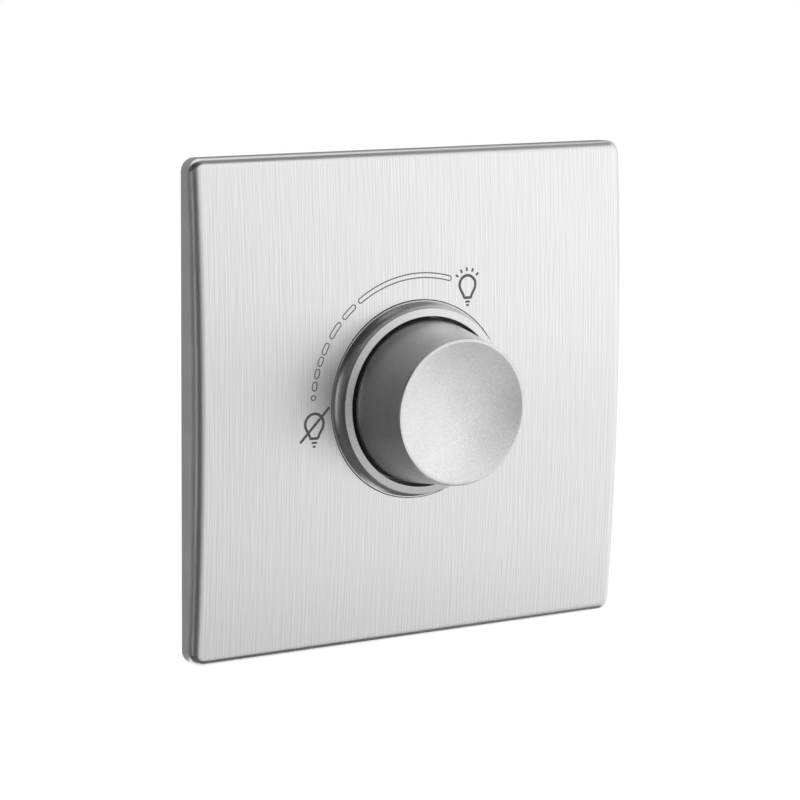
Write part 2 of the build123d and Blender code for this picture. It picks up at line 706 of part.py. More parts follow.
def pan_screw(shank_r, length, head_r, head_h, slot_w, neck_r=None, neck_l=0.0):
    """A screw along +Y with its head in front of Y = 0: domed head, driver slot and pointed end."""
    point = shank_r * SCREW_POINT
    neck = [(neck_r, 0), (neck_r, neck_l)] if neck_r else []
    screw = turned(
        [
            (0, -head_h),
            (head_r * HEAD_CROWN, -head_h),
            (head_r, -head_h * HEAD_SIDE),
            (head_r, 0),
            *neck,
            (shank_r, neck_l),
            (shank_r, length - point),
            (shank_r - point, length),
            (0, length),
        ]
    )
    floor = -head_h * (1 - DRIVER_DEPTH)
    return screw - block(-head_r, head_r, -head_h - PAST, floor, -slot_w / 2, slot_w / 2)


def make_box_screw(sign):
    length = BOX_SCREW_L + FRAME_T
    screw = pan_screw(BOX_SCREW_R, length, BOX_HEAD_R, BOX_HEAD_H, BOX_DRIVER_W, BOX_NECK_R, FRAME_T)
    return Pos(sign * BOX_CENTRES / 2, -FRAME_T, 0) * screw


def make_frame_screw(sx, sz):
    screw = pan_screw(FRAME_SCREW_R, FRAME_SCREW_L, FRAME_HEAD_R, FRAME_HEAD_H, FRAME_DRIVER_W)
    return Pos(sx * boss_x, -FRAME_T, sz * boss_z) * screw


def make_housing_lid():
    """Moulded lid behind the frame: locating tongue and posts that press on the board."""
    plate = slab(RectangleRounded(module_w, MODULE_H, MODULE_R), 0, LID_T)
    outer_w = 2 * (inner_x - TONGUE_PLAY)
    outer_h = 2 * (inner_z - TONGUE_PLAY)
    corner = MODULE_R - MODULE_WALL - TONGUE_PLAY
    tongue = RectangleRounded(outer_w, outer_h, corner)
    tongue -= Rectangle(outer_w - 2 * TONGUE_T, outer_h - 2 * TONGUE_T)
    for sx, sz in corners:
        tongue -= Pos(sx * boss_x, sz * boss_z) * Circle(BOSS_R + PART_GAP)
    lid = plate + slab(tongue, LID_T / 2, LID_T + TONGUE_H)
    for sign in (-1, 1):
        for z in (POST_TOP_Z, POST_LOW_Z):
            lid += rod(POST_R, LID_T / 2, board_front, sign * post_x, z)
    for sx, sz in corners:
        lid -= rod(FRAME_SCREW_R + SCREW_HOLE_PLAY, -PAST, LID_T + PAST, sx * boss_x, sz * boss_z)
    lid -= rod(BUSH_R + THREAD_PLAY, -PAST, LID_T + PAST)
    return lid - rod(TRIAC_SCREW_R + THREAD_PLAY, -PAST, LID_T + PAST, 0, triac_hole_z)


def make_rear_housing():
    """Moulded box: corner bosses with board ledges, terminal pockets, vents and wire windows."""
    outer = slab(RectangleRounded(module_w, MODULE_H, MODULE_R), LID_T, module_back)
    outer = fillet(outer.faces().sort_by(Axis.Y)[-1].edges(), FLOOR_ROUND)
    cavity = slab(RectangleRounded(2 * inner_x, 2 * inner_z, MODULE_R - MODULE_WALL), LID_T - PAST, floor_y)
    box = outer - cavity
    for sx, sz in corners:
        box += rod(BOSS_R, LID_T, floor_y + MERGE, sx * boss_x, sz * boss_z) & outer
        box += rod(BOSS_R + BOSS_LEDGE, board_back, floor_y + MERGE, sx * boss_x, sz * boss_z) & outer
    pocket_y = board_back + HOLE_PLAY
    pocket_top = pillar_top + HOLE_PLAY
    half = BARRIER_T / 2
    for i in range(TERMINAL_COUNT + 1):
        x = (i - TERMINAL_COUNT / 2) * TERMINAL_PITCH
        box += block(x - half, x + half, pocket_y, floor_y + MERGE, -inner_z - MERGE, pocket_top + half)
    row = TERMINAL_COUNT * TERMINAL_PITCH / 2 + half
    box += block(-row, row, pocket_y, floor_y + MERGE, pocket_top, pocket_top + BARRIER_T)
    for sx, sz in corners:
        box -= rod(PILOT_R, LID_T - PAST, LID_T + FRAME_SCREW_L + PAST, sx * boss_x, sz * boss_z)
    half = WIRE_R + WIRE_ROOM
    for x in terminal_xs:
        box -= block(x - half, x + half, wire_y - half, wire_y + half, -MODULE_H / 2 - PAST, -inner_z)
        box -= rod(TERMINAL_HEAD_R + SCREW_HOLE_PLAY, floor_y - PAST, module_back + PAST, x, pillar_z)
    for i in range(VENT_COUNT):
        x = (i - (VENT_COUNT - 1) / 2) * VENT_PITCH
        vent = Pos(x, inner_z / 2 - PART_GAP) * Rot(0, 0, 90) * SlotOverall(VENT_L, VENT_W)
        box -= slab(vent, floor_y - PAST, module_back + PAST)
    return box


def axial_legs(x, length):
    """Where an axial part's two leads pass the board."""
    reach = length / 2 + LEAD_STUB
    return [(x, AXIAL_Z - reach), (x, AXIAL_Z + reach)]


def make_axial(x, radius, length, belly):
    """A small axial part lying along Z on the board, with both leads turned down into it."""
    y = board_front - radius - HOLE_PLAY
    neck = radius * belly
    half = length / 2
    end = length * BULB_L
    outline = [(0, -half), (radius, -half), (radius, -half + end), (neck, -half + end + BULB_STEP)]
    outline += [(neck, half - end - BULB_STEP), (radius, half - end), (radius, half), (0, half)]
    body = revolve(Plane.XZ * make_face(Polyline(*outline, close=True)), Axis.Z)
    body = Pos(x, y, AXIAL_Z) * body
    for _, z in axial_legs(x, length):
        sign = 1 if z > AXIAL_Z else -1
        start = AXIAL_Z + sign * (half - MERGE)
        path = FilletPolyline((x, y, start), (x, y, z), (x, leg_end, z), radius=LEG_R * 2)
        wire = sweep(Plane((x, y, start), z_dir=(0, 0, sign)) * Circle(LEG_R), path)
        body += wire
    return body


def choke_legs():
    return [(choke_x - CHOKE_CORE_R, choke_z), (choke_x + CHOKE_CORE_R, choke_z)]


def make_choke_core():
    """Ferrite drum: two flanges and a waist."""
    y0 = board_front - CHOKE_H
    y1 = board_front
    flange = CHOKE_FLANGE_T
    drum = turned(
        [
            (0, y0),
            (CHOKE_R, y0),
            (CHOKE_R, y0 + flange),
            (CHOKE_CORE_R, y0 + flange),
            (CHOKE_CORE_R, y1 - flange),
            (CHOKE_R, y1 - flange),
            (CHOKE_R, y1),
            (0, y1),
        ]
    )
    drum = Pos(choke_x, 0, choke_z) * drum
    for x, z in choke_legs():
        drum += rod(LEG_R, board_front - flange / 2, leg_end, x, z)
    return drum


def make_choke_winding():
    """Copper winding around the drum's waist, rounded by its layers."""
    y0 = board_front - CHOKE_H + CHOKE_FLANGE_T + RUN_PLAY
    y1 = board_front - CHOKE_FLANGE_T - RUN_PLAY
    coil = rod(CHOKE_WIND_R, y0, y1, choke_x, choke_z)
    return coil - rod(CHOKE_CORE_R + THREAD_PLAY, y0 - PAST, y1 + PAST, choke_x, choke_z)


def cap_legs():
    return [(cap_x - CAP_PITCH / 2, cap_z), (cap_x + CAP_PITCH / 2, cap_z)]


def make_film_capacitor():
    """Moulded film capacitor with softened edges and two legs."""
    y0 = board_front - CAP_H
    body = block(cap_x - CAP_W / 2, cap_x + CAP_W / 2, y0, board_front, cap_z - CAP_T / 2, cap_z + CAP_T / 2)
    body = fillet(body.edges().filter_by(Axis.Y), CAP_ROUND)
    for x, z in cap_legs():
        body += rod(LEG_R, board_front - LEG_ROOT, leg_end, x, z)
    return body


def small_cap_legs():
    half = SMALL_CAP_PITCH / 2
    return [(small_cap_x, AXIAL_Z - half), (small_cap_x, AXIAL_Z + half)]


def make_timing_capacitor():
    """Small dipped capacitor on edge."""
    y0 = board_front - SMALL_CAP_H
    half_w = SMALL_CAP_W / 2
    half_t = SMALL_CAP_T / 2
    x0 = small_cap_x - half_t
    x1 = small_cap_x + half_t
    body = block(x0, x1, y0, board_front, AXIAL_Z - half_w, AXIAL_Z + half_w)
    body = fillet(body.edges().filter_by(Axis.Y), SMALL_CAP_ROUND)
    for x, z in small_cap_legs():
        body += rod(LEG_R, board_front - LEG_ROOT, leg_end, x, z)
    return body


def make_fuse_tube():
    """Glass tube of the fuse."""
    half = FUSE_L / 2 - FUSE_CAP_T - RUN_PLAY
    bore = rod_x(FUSE_GLASS_R - FUSE_GLASS_T, -FUSE_L, FUSE_L, fuse_y, fuse_z)
    return rod_x(FUSE_GLASS_R, -half, half, fuse_y, fuse_z) - bore


def make_fuse_cap(sign):
    """Plated end cap over the glass."""
    outer_x = sign * FUSE_L / 2
    inner_end = sign * (FUSE_L / 2 - FUSE_CAP_L)
    floor_x = sign * (FUSE_L / 2 - FUSE_CAP_T)
    cap = rod_x(FUSE_CAP_R, min(outer_x, inner_end), max(outer_x, inner_end), fuse_y, fuse_z)
    bore_r = FUSE_GLASS_R + THREAD_PLAY
    far = inner_end - sign * PAST
    return cap - rod_x(bore_r, min(far, floor_x), max(far, floor_x), fuse_y, fuse_z)


def fuse_legs():
    x = FUSE_L / 2 - FUSE_CAP_L / 2
    return [(-x, fuse_z), (x, fuse_z)]


def make_fuse_clip(sign):
    """Spring clip: an open ring around the cap, with one leg through the board."""
    middle = sign * (FUSE_L / 2 - FUSE_CAP_L / 2)
    half = FUSE_CLIP_W / 2
    inner_r = FUSE_CAP_R + THREAD_PLAY
    ring = rod_x(inner_r + FUSE_CLIP_T, middle - half, middle + half, fuse_y, fuse_z)
    ring -= rod_x(inner_r, middle - half - PAST, middle + half + PAST, fuse_y, fuse_z)
    mouth = fuse_y - inner_r * FUSE_CLIP_MOUTH
    wide = inner_r + FUSE_CLIP_T + PAST
    cut = half + PAST
    ring -= block(middle - cut, middle + cut, fuse_y - wide, mouth, fuse_z - wide, fuse_z + wide)
    foot_y = fuse_y + inner_r + FUSE_CLIP_T / 2
    foot_half = FUSE_FOOT_W / 2
    foot = block(middle - half, middle + half, foot_y, board_front, fuse_z - foot_half, fuse_z + foot_half)
    return ring + foot + rod(LEG_R, board_front - MERGE, board_back, middle, fuse_z)


def make_heat_sink():
    """Folded aluminium channel behind the lid, with a bend at each fold."""
    half = SINK_W / 2
    sink = block(-half, half, LID_T, LID_T + SINK_T, sink_low, sink_top)
    for sign in (-1, 1):
        inner = sign * (half - SINK_T)
        outer = sign * half
        sink += block(min(inner, outer), max(inner, outer), LID_T, LID_T + SINK_FIN, sink_low, sink_top)
    folds = sink.edges().filter_by(Axis.Z).sort_by(Axis.Y)
    sink = fillet(folds[:2], SINK_BEND_R)
    inside = sink.edges().filter_by(Axis.Z).filter_by_position(Axis.Y, LID_T + SINK_T, LID_T + SINK_T)
    sink = fillet(inside, SINK_BEND_R - SINK_T)
    return sink - rod(TRIAC_SCREW_R + SCREW_HOLE_PLAY, LID_T - PAST, triac_tab_y + PAST, 0, triac_hole_z)


def make_triac_tab():
    """Metal tab that passes the heat to the sink."""
    half = TRIAC_W / 2
    tab = block(-half, half, triac_tab_y, triac_body_y, triac_low, triac_top)
    return tab - rod(TRIAC_HOLE_R, triac_tab_y - PAST, triac_body_y + PAST, 0, triac_hole_z)


def triac_legs():
    return [((i - 1) * TRIAC_PITCH, triac_leg_z) for i in range(3)]


def make_triac_body():
    """Moulded body on the tab, with three legs turned back into the board."""
    half = TRIAC_W / 2
    body = block(
        -half, half, triac_body_y, triac_body_y + TRIAC_BODY_T, triac_low, triac_low + TRIAC_BODY_H
    )
    body = chamfer(body.faces().sort_by(Axis.Y)[-1].edges(), TRIAC_EDGE)
    side = LEG_R
    root = triac_low + TRIAC_EDGE
    for x, z in triac_legs():
        body += block(x - side, x + side, triac_leg_y - side, triac_leg_y + side, z - side, root)
        body += block(x - side, x + side, triac_leg_y - side, leg_end, z - side, z + side)
    return body


def make_triac_screw():
    """Screw through tab and heat sink into the lid, driven from the board's side."""
    length = TRIAC_TAB_T + SINK_T + LID_T - TRIAC_SCREW_SHORT
    screw = pan_screw(TRIAC_SCREW_R, length, TRIAC_HEAD_R, TRIAC_HEAD_H, TRIAC_DRIVER_W)
    return Pos(0, triac_body_y, triac_hole_z) * Rot(0, 0, 180) * screw


def make_terminal_pillar(x):
    """Brass block: a bore for the wire along Z, a threaded hole for its screw and a solder stub."""
    half = PILLAR_W / 2
    pillar = block(x - half, x + half, board_back, pillar_back, pillar_low, pillar_top)
    pillar = chamfer(pillar.edges().filter_by(Axis.Y), PILLAR_EDGE)
    pillar -= rod_z(WIRE_R, pillar_low - PAST, pillar_top + PAST, x, wire_y)
    pillar -= rod(TERMINAL_SCREW_R + THREAD_PLAY, wire_y, pillar_back + PAST, x, pillar_z)
    return pillar + rod(STUB_R, board_front, board_back + MERGE, x, pillar_stub_z)


def make_terminal_screw(x):
    """Open terminal screw: its end stands just clear of the wire bore."""
    length = terminal_head_y - (wire_y + WIRE_R + TERMINAL_LIFT)
    screw = pan_screw(TERMINAL_SCREW_R, length, TERMINAL_HEAD_R, TERMINAL_HEAD_H, TERMINAL_DRIVER_W)
    return Pos(x, terminal_head_y, pillar_z) * Rot(0, 0, 180) * screw


def make_circuit_board():
    """Board with notches for the corner bosses and a hole for each leg."""
    board = Rectangle(2 * (inner_x - BOARD_EDGE), 2 * (inner_z - BOARD_EDGE))
    notch = BOSS_R + BOARD_EDGE / 2
    for sx, sz in corners:
        board -= Pos(sx * boss_x, sz * boss_z) * Circle(notch)
        board -= Pos(sx * boss_x, sz * (boss_z + notch)) * Rectangle(2 * notch, 2 * notch)
        board -= Pos(sx * (boss_x + notch), sz * boss_z) * Rectangle(2 * notch, 2 * notch)
    lead_r = LEG_R + HOLE_PLAY
    legs = choke_legs() + cap_legs() + small_cap_legs() + fuse_legs()
    legs += axial_legs(resistor_x, RESISTOR_L) + axial_legs(-resistor_x, RESISTOR_L)
    legs += axial_legs(diac_x, DIAC_L)
    for x, z in legs:
        board -= Pos(x, z) * Circle(lead_r)
    for x, z in triac_legs():
        board -= Pos(x, z) * Circle(lead_r * SQUARE_LEG_HOLE)
    for x, z in pin_places():
        board -= Pos(x, z) * Circle(PIN_R + HOLE_PLAY)
    board -= Pos(*contact_place()) * Circle(CONTACT_R + HOLE_PLAY)
    leaf_z = CAM_LOBE_R + RUN_PLAY * 2 + LEAF_T / 2
    board -= Pos(0, leaf_z) * Circle(PIN_R + HOLE_PLAY)
    for x in terminal_xs:
        board -= Pos(x, pillar_stub_z) * Circle(STUB_R + HOLE_PLAY)
    return slab(board, board_front, board_back)


side_names = {-1: "left", 1: "right"}
height_names = {-1: "bottom", 1: "top"}
nodes = {
    "cover_skin": make_cover_skin(),
    "cover_carrier": make_cover_carrier(),
    "collar_ring": make_collar_ring(),
    "knob": make_knob(),
    "knob_spring": make_knob_spring(),
    "shaft": make_shaft(),
    "shaft_bush": make_bush(),
    "bush_nut": make_bush_nut(),
    "bush_washer": make_bush_washer(),
    "track_can": make_pot_can(),
    "track_wafer": make_pot_track(),
    "wiper_rotor": make_pot_rotor(),
    "wiper_spring": make_pot_wiper(),
    "switch_case": make_switch_case(),
    "switch_cam": make_switch_cam(),
    "switch_leaf": make_switch_leaf(),
    "switch_contact": make_switch_contact(),
    "support_frame": make_support_frame(),
    "housing_lid": make_housing_lid(),
    "rear_housing": make_rear_housing(),
    "circuit_board": make_circuit_board(),
    "heat_sink": make_heat_sink(),
    "triac_tab": make_triac_tab(),
    "triac_body": make_triac_body(),
    "triac_screw": make_triac_screw(),
    "choke_core": make_choke_core(),
    "choke_winding": make_choke_winding(),
    "film_capacitor": make_film_capacitor(),
    "timing_capacitor": make_timing_capacitor(),
    "diac": make_axial(diac_x, DIAC_R, DIAC_L, 1.0),
    "fuse_tube": make_fuse_tube(),
}
for sign, side in side_names.items():
    nodes[f"box_screw_{side}"] = make_box_screw(sign)
    nodes[f"fuse_cap_{side}"] = make_fuse_cap(sign)
    nodes[f"fuse_clip_{side}"] = make_fuse_clip(sign)
    nodes[f"resistor_{side}"] = make_axial(sign * resistor_x, RESISTOR_R, RESISTOR_L, RESISTOR_WAIST)
for sx, sz in corners:
    nodes[f"frame_screw_{height_names[sz]}_{side_names[sx]}"] = make_frame_screw(sx, sz)
for number, x in enumerate(terminal_xs, start=1):
    nodes[f"terminal_pillar_{number}"] = make_terminal_pillar(x)
    nodes[f"terminal_screw_{number}"] = make_terminal_screw(x)

os.makedirs("parts", exist_ok=True)
for name, solid in nodes.items():
    export_step(solid, f"parts/{name}.step")
print(len(nodes), "parts written")
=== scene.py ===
# %% [markdown]
# # A rotary wall dimmer
#
# The object is a dimmer for one wall box: a square cover plate of brushed stainless steel, a silver
# collar ring, and a dished silver knob on a shaft. Behind the plate sit a steel support frame and a
# black module with the circuit and three screw terminals.
#
# The solids come from CAD as they are. This scene gives them their finishes, adds the printed marks,
# and sets up the camera and a small product studio. All lengths are in metres, and the wall's surface
# is the plane Y = 0, with the room on the side of -Y.

# %% Load the frame
import json
import math

import bpy
from mathutils import Matrix, Vector


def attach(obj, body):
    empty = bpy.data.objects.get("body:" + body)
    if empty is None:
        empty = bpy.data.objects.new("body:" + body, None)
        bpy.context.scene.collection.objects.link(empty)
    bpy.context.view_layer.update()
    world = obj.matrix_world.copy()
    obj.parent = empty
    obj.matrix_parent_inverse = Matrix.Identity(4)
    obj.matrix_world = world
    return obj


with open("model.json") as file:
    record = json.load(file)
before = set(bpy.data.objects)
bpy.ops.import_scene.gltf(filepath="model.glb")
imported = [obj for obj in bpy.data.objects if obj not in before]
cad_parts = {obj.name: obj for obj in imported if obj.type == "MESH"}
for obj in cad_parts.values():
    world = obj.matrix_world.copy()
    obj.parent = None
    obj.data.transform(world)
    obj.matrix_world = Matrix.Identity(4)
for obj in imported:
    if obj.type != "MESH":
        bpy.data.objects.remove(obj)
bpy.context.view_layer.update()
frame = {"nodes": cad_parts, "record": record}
nodes = frame["nodes"]
MM = 0.001

# %% [markdown]
# ## Small helpers
#
# Every finish below is a short recipe of shader nodes, so one helper adds a node, sets its options and
# fills or links its inputs. Colours are written as they look on a screen and turned linear in one place.
# Textures run in each solid's own coordinates, in metres, so a grain or a scratch keeps its real size.


# %% Helpers for nodes and colours
def linear(hex_colour):
    """A screen colour such as "#808080" as linear RGBA."""
    channels = [int(hex_colour[i : i + 2], 16) / 255 for i in (1, 3, 5)]
    return tuple(c / 12.92 if c <= 0.04045 else ((c + 0.055) / 1.055) ** 2.4 for c in channels) + (1.0,)


def add(tree, kind, inputs=(), **options):
    """Adds one node. Inputs are numbers, colours or the outputs of other nodes."""
    node = tree.nodes.new(kind)
    for name, value in options.items():
        setattr(node, name, value)
    for key, value in dict(inputs).items():
        if isinstance(value, bpy.types.NodeSocket):
            tree.links.new(value, node.inputs[key])
        else:
            node.inputs[key].default_value = value
    return node


def finish(name, colour, roughness, metallic=0.0, **sockets):
    """A material with its plain values on the shader, ready for a recipe."""
    material = bpy.data.materials.new(name)
    material.use_nodes = True
    shader = material.node_tree.nodes["Principled BSDF"]
    shader.inputs["Base Color"].default_value = linear(colour)
    shader.inputs["Roughness"].default_value = roughness
    shader.inputs["Metallic"].default_value = metallic
    for key, value in sockets.items():
        shader.inputs[key.replace("_", " ")].default_value = value
    material.diffuse_color = linear(colour)
    return material, material.node_tree, shader


def maths(tree, operation, *values):
    """One step of arithmetic on numbers."""
    return add(tree, "ShaderNodeMath", dict(enumerate(values)), operation=operation).outputs[0]


def vectors(tree, operation, first, second=(0, 0, 0), out="Vector"):
    """One step of arithmetic on places or directions."""
    return add(tree, "ShaderNodeVectorMath", {0: first, 1: second}, operation=operation).outputs[out]


def scaled(tree, vector, factor):
    """A direction made longer or shorter by a factor."""
    sockets = {0: vector, "Scale": factor}
    return add(tree, "ShaderNodeVectorMath", sockets, operation="SCALE").outputs["Vector"]


def place(tree, x, y=None, z=None, shift=0.0):
    """Object coordinates, stretched so that one unit is x, y and z metres long, or x every way."""
    where = add(tree, "ShaderNodeTexCoord").outputs["Object"]
    sockets = {"Vector": where, "Scale": (1 / x, 1 / (y or x), 1 / (z or x)), "Location": (shift, 0, 0)}
    return add(tree, "ShaderNodeMapping", sockets).outputs["Vector"]


def noise(tree, vector, detail=2.0, roughness=0.5):
    """Soft random values with one swell in about each unit of the vector."""
    sockets = {"Vector": vector, "Scale": 1.0, "Detail": detail, "Roughness": roughness}
    return add(tree, "ShaderNodeTexNoise", sockets).outputs["Fac"]


def spread(tree, value, low, high, start=0.3, end=0.7):
    """Maps a texture's middle range to numbers between low and high."""
    sockets = {"Value": value, "From Min": start, "From Max": end, "To Min": low, "To Max": high}
    return add(tree, "ShaderNodeMapRange", sockets).outputs["Result"]


def blend_colour(tree, factor, first, second):
    """The first colour where the factor is 0, the second where it is 1."""
    ramp = add(tree, "ShaderNodeValToRGB", {"Fac": factor})
    ramp.color_ramp.elements[0].color = linear(first)
    ramp.color_ramp.elements[1].color = linear(second)
    return ramp.outputs["Color"]


def bump(tree, height, distance, strength=1.0, normal=None):
    """A normal that tilts as a relief of the given height would."""
    sockets = {"Height": height, "Distance": distance, "Strength": strength}
    if normal:
        sockets["Normal"] = normal
    return add(tree, "ShaderNodeBump", sockets).outputs["Normal"]


def join(tree, shader, **outputs):
    """Links outputs to the shader's inputs."""
    for key, output in outputs.items():
        tree.links.new(output, shader.inputs[key.replace("_", " ")])


def edges(tree, radius):
    """A mask that is 1 on the sharp edges: it makes worn metal edges smoother and paints a highlight on
    plastic edges.
    """
    rounded = add(tree, "ShaderNodeBevel", {"Radius": radius}, samples=6).outputs["Normal"]
    plain = add(tree, "ShaderNodeNewGeometry").outputs["Normal"]
    likeness = vectors(tree, "DOT_PRODUCT", rounded, plain, "Value")
    return spread(tree, likeness, 1.0, 0.0, start=0.80, end=0.97)


print("helpers ready")

# %% [markdown]
# ## Camera
#
# The photograph was taken with a long lens from the left and a little above the knob. The place, the
# turn and the focal length were worked out from the plate's outline and the circles of the collar and
# the knob, with the plate's real size given. Long lenses keep the far side of a small object nearly as
# large as the near side.

# %% Camera at the photograph's viewpoint
EYE = Vector((-0.27112, -0.44564, 0.09118))
YAW, PITCH, ROLL = (math.radians(a) for a in (31.29, 10.03, 0.62))
FOCAL_PX, FRAME_PX, SENSOR = 2902.14, 800, 36.0

ahead = Vector((math.sin(YAW) * math.cos(PITCH), math.cos(YAW) * math.cos(PITCH), -math.sin(PITCH)))
right = Vector((math.cos(YAW), -math.sin(YAW), 0))
up = right.cross(ahead)
turned_right = math.cos(ROLL) * right + math.sin(ROLL) * up
turned_up = math.cos(ROLL) * up - math.sin(ROLL) * right

camera_data = bpy.data.cameras.new("photo_camera")
camera_data.sensor_width = SENSOR
camera_data.lens = FOCAL_PX * SENSOR / FRAME_PX
camera_data.clip_start, camera_data.clip_end = 0.02, 20.0
camera = bpy.data.objects.new("photo_camera", camera_data)
camera.matrix_world = Matrix((turned_right, turned_up, -ahead)).transposed().to_4x4()
camera.location = EYE
bpy.context.scene.collection.objects.link(camera)
bpy.context.scene.camera = camera
bpy.context.scene.view_settings.view_transform = "Standard"
print("lens in mm", round(camera_data.lens, 1))

# %% [markdown]
# ## Studio
#
# Brushed steel and silver paint show little colour of their own: they show the room. The photographer
# stood the plate in a white tent with a bright panel at the right, and black flags in front of it, which
# draw the dark side of the knob and the dark lines along the plate's rolled edges. Here the tent is the
# world. Two area lights, the panel and the overhead soft box, light what is matt. The flags and the
# reflectors are curved cards that only reflections see, and each shapes one side of the metal. The floor
# is pale and far enough below that the shadow stays soft.


# %% World, floor, lights and flags
def toward(azimuth, elevation, distance):
    """A place seen from the knob: azimuth 0 is straight ahead of the plate, 90 to its right."""
    a, e = math.radians(azimuth), math.radians(elevation)
    return distance * Vector((math.sin(a) * math.cos(e), -math.cos(a) * math.cos(e), math.sin(e)))


def facing(where):
    """The turn that points a lamp at the knob."""
    return (-where).to_track_quat("-Z", "Z" if abs(where.normalized().z) < 0.9 else "Y")


world = bpy.data.worlds.new("white_tent")
bpy.context.scene.world = world
world.use_nodes = True
world.cycles.sampling_method = "NONE"
sky = world.node_tree


def strength_by_ray(tree, for_light, for_eye):
    """One strength for light that falls on surfaces, another for what camera, gloss and glass see."""
    path = add(tree, "ShaderNodeLightPath").outputs
    seen = path["Is Camera Ray"]
    for kind in ("Is Glossy Ray", "Is Transmission Ray"):
        seen = maths(tree, "MAXIMUM", seen, path[kind])
    return spread(tree, seen, for_light, for_eye, 0.0, 1.0)


TENT_FILL = 0.42
backdrop = sky.nodes["Background"]
backdrop.inputs["Color"].default_value = (1, 1, 1, 1)
sky.links.new(strength_by_ray(sky, TENT_FILL, 1.0), backdrop.inputs["Strength"])

FLOOR_Z, FLOOR_REACH, FLOOR_GLOW = -0.80, 6.0, 0.62
floor_mesh = bpy.data.meshes.new("floor")
corners = [(FLOOR_REACH * x, FLOOR_REACH * y, FLOOR_Z) for x, y in ((-1, -1), (1, -1), (1, 1), (-1, 1))]
floor_mesh.from_pydata(corners, [], [(0, 1, 2, 3)])
floor = bpy.data.objects.new("floor", floor_mesh)
bpy.context.scene.collection.objects.link(floor)
pale, tree, shader = finish("pale_floor_paint", "#f4f4f4", 0.9)
shader.inputs["Emission Color"].default_value = (1, 1, 1, 1)
join(tree, shader, Emission_Strength=strength_by_ray(tree, 0.0, FLOOR_GLOW))
floor_mesh.materials.append(pale)


def soft_box(name, azimuth, elevation, distance, width, height, radiance):
    """An area light whose surface has the given brightness."""
    data = bpy.data.lights.new(name, "AREA")
    data.shape = "RECTANGLE"
    data.size, data.size_y = width, height
    data.energy = radiance * math.pi * width * height
    lamp = bpy.data.objects.new(name, data)
    lamp.location = toward(azimuth, elevation, distance)
    lamp.rotation_mode = "QUATERNION"
    lamp.rotation_quaternion = facing(lamp.location)
    lamp.visible_glossy = False
    bpy.context.scene.collection.objects.link(lamp)


CARD_STEPS = 8


def between(ends, step):
    """The angle that many steps along the way from the first end to the second."""
    return ends[0] + (ends[1] - ends[0]) * step / CARD_STEPS


def add_card(name, azimuths, elevations, distance, tone):
    """A curved card of one grey over a range of directions, which only reflections see."""
    row = CARD_STEPS + 1
    corners = [
        toward(between(azimuths, i), between(elevations, j), distance) for j in range(row) for i in range(row)
    ]
    starts = [j * row + i for j in range(CARD_STEPS) for i in range(CARD_STEPS)]
    quads = [(s, s + row, s + row + 1, s + 1) for s in starts]
    mesh = bpy.data.meshes.new(name)
    mesh.from_pydata(corners, [], quads)
    card = bpy.data.objects.new(name, mesh)
    bpy.context.scene.collection.objects.link(card)
    cloth, tree, shader = finish(f"{name}_cloth", "#050505", 1.0)
    shader.inputs["Emission Color"].default_value = (tone, tone, tone, 1)
    shader.inputs["Emission Strength"].default_value = 1.0
    mesh.materials.append(cloth)
    card.visible_camera = False
    card.visible_diffuse = False
    card.visible_shadow = False
    card.visible_transmission = False


soft_box("right_panel", azimuth=50, elevation=4, distance=0.9, width=0.7, height=0.45, radiance=1.0)
soft_box("overhead_box", azimuth=60, elevation=72, distance=0.8, width=0.7, height=0.7, radiance=0.7)
CARDS = [  # name, range of azimuths and of elevations in degrees, distance in metres, brightness
    ("left_flag", (-110, -14), (-38, 18), 0.80, 0.02),
    ("rear_left_flag", (-165, -110), (-38, 45), 0.80, 0.22),
    ("left_strip", (-86, -74), (-25, 20), 0.72, 0.8),
    ("front_card", (-14, 6), (-18, 18), 0.80, 0.95),
    ("front_right_card", (6, 26), (-18, 18), 0.80, 0.78),
    ("front_low_card", (-14, 24), (-38, -18), 0.80, 0.68),
    ("front_flag", (-9, 8), (-20, 3), 0.70, 0.30),
    ("upper_left_flag", (-110, -20), (18, 45), 0.80, 0.02),
    ("top_left_flag", (-110, 0), (45, 85), 0.80, 0.02),
    ("top_right_flag", (0, 110), (45, 85), 0.80, 0.22),
    ("back_flag", (112, 195), (-6, 45), 0.80, 0.20),
    ("right_reflector", (26, 64), (-8, 18), 0.80, 1.22),
    ("low_reflector", (26, 64), (-24, -8), 0.80, 1.05),
    ("lower_reflector", (24, 60), (-45, -24), 0.80, 0.62),
    ("floor_left_flag", (-110, 6), (-80, -38), 0.78, 0.10),
    ("floor_right_flag", (6, 110), (-80, -45), 0.78, 0.08),
]
for values in CARDS:
    add_card(*values)
print("studio lit with 2 lamps and", len(CARDS), "cards")

# %% [markdown]
# ## Brushed stainless plate
#
# The plate is pressed from sheet that was drawn over an abrasive belt, so its lines all run one way,
# here upright, and each is a fraction of a millimetre wide. A belt leaves short and long lines, so two
# lengths are laid over each other. Each is noise stretched along the brushing, less the same noise half
# a line aside, which keeps fine lines and drops broad clouds. Brushing spreads a reflection sideways, so
# the shader's tangent runs across the lines. The lines fade where the sheet rolls back at top and bottom.


# %% Brushed stainless steel
SHORT_LINES = (0.00026, 0.006, 7.3)  # a hairline's width and length, and where its noise starts
LONG_LINES = (0.00036, 0.016, 0.0)
SHEET_DEPTH = 0.05  # the noise hardly changes from the front of the bow to its back
GROOVES = (0.0003, 0.02, 0.02)  # width, depth and length of the shallow grooves
STEEP = (0.25, 0.6)  # how far up or down the sheet faces where the lines fade


def streaks(tree, width, length, start):
    """Hairlines along the brushing: a stretched noise less its own neighbour half a line away."""
    here = noise(tree, place(tree, width, SHEET_DEPTH, length, start), detail=0.0)
    aside = noise(tree, place(tree, width, SHEET_DEPTH, length, start + 0.5), detail=0.0)
    return maths(tree, "SUBTRACT", here, aside)


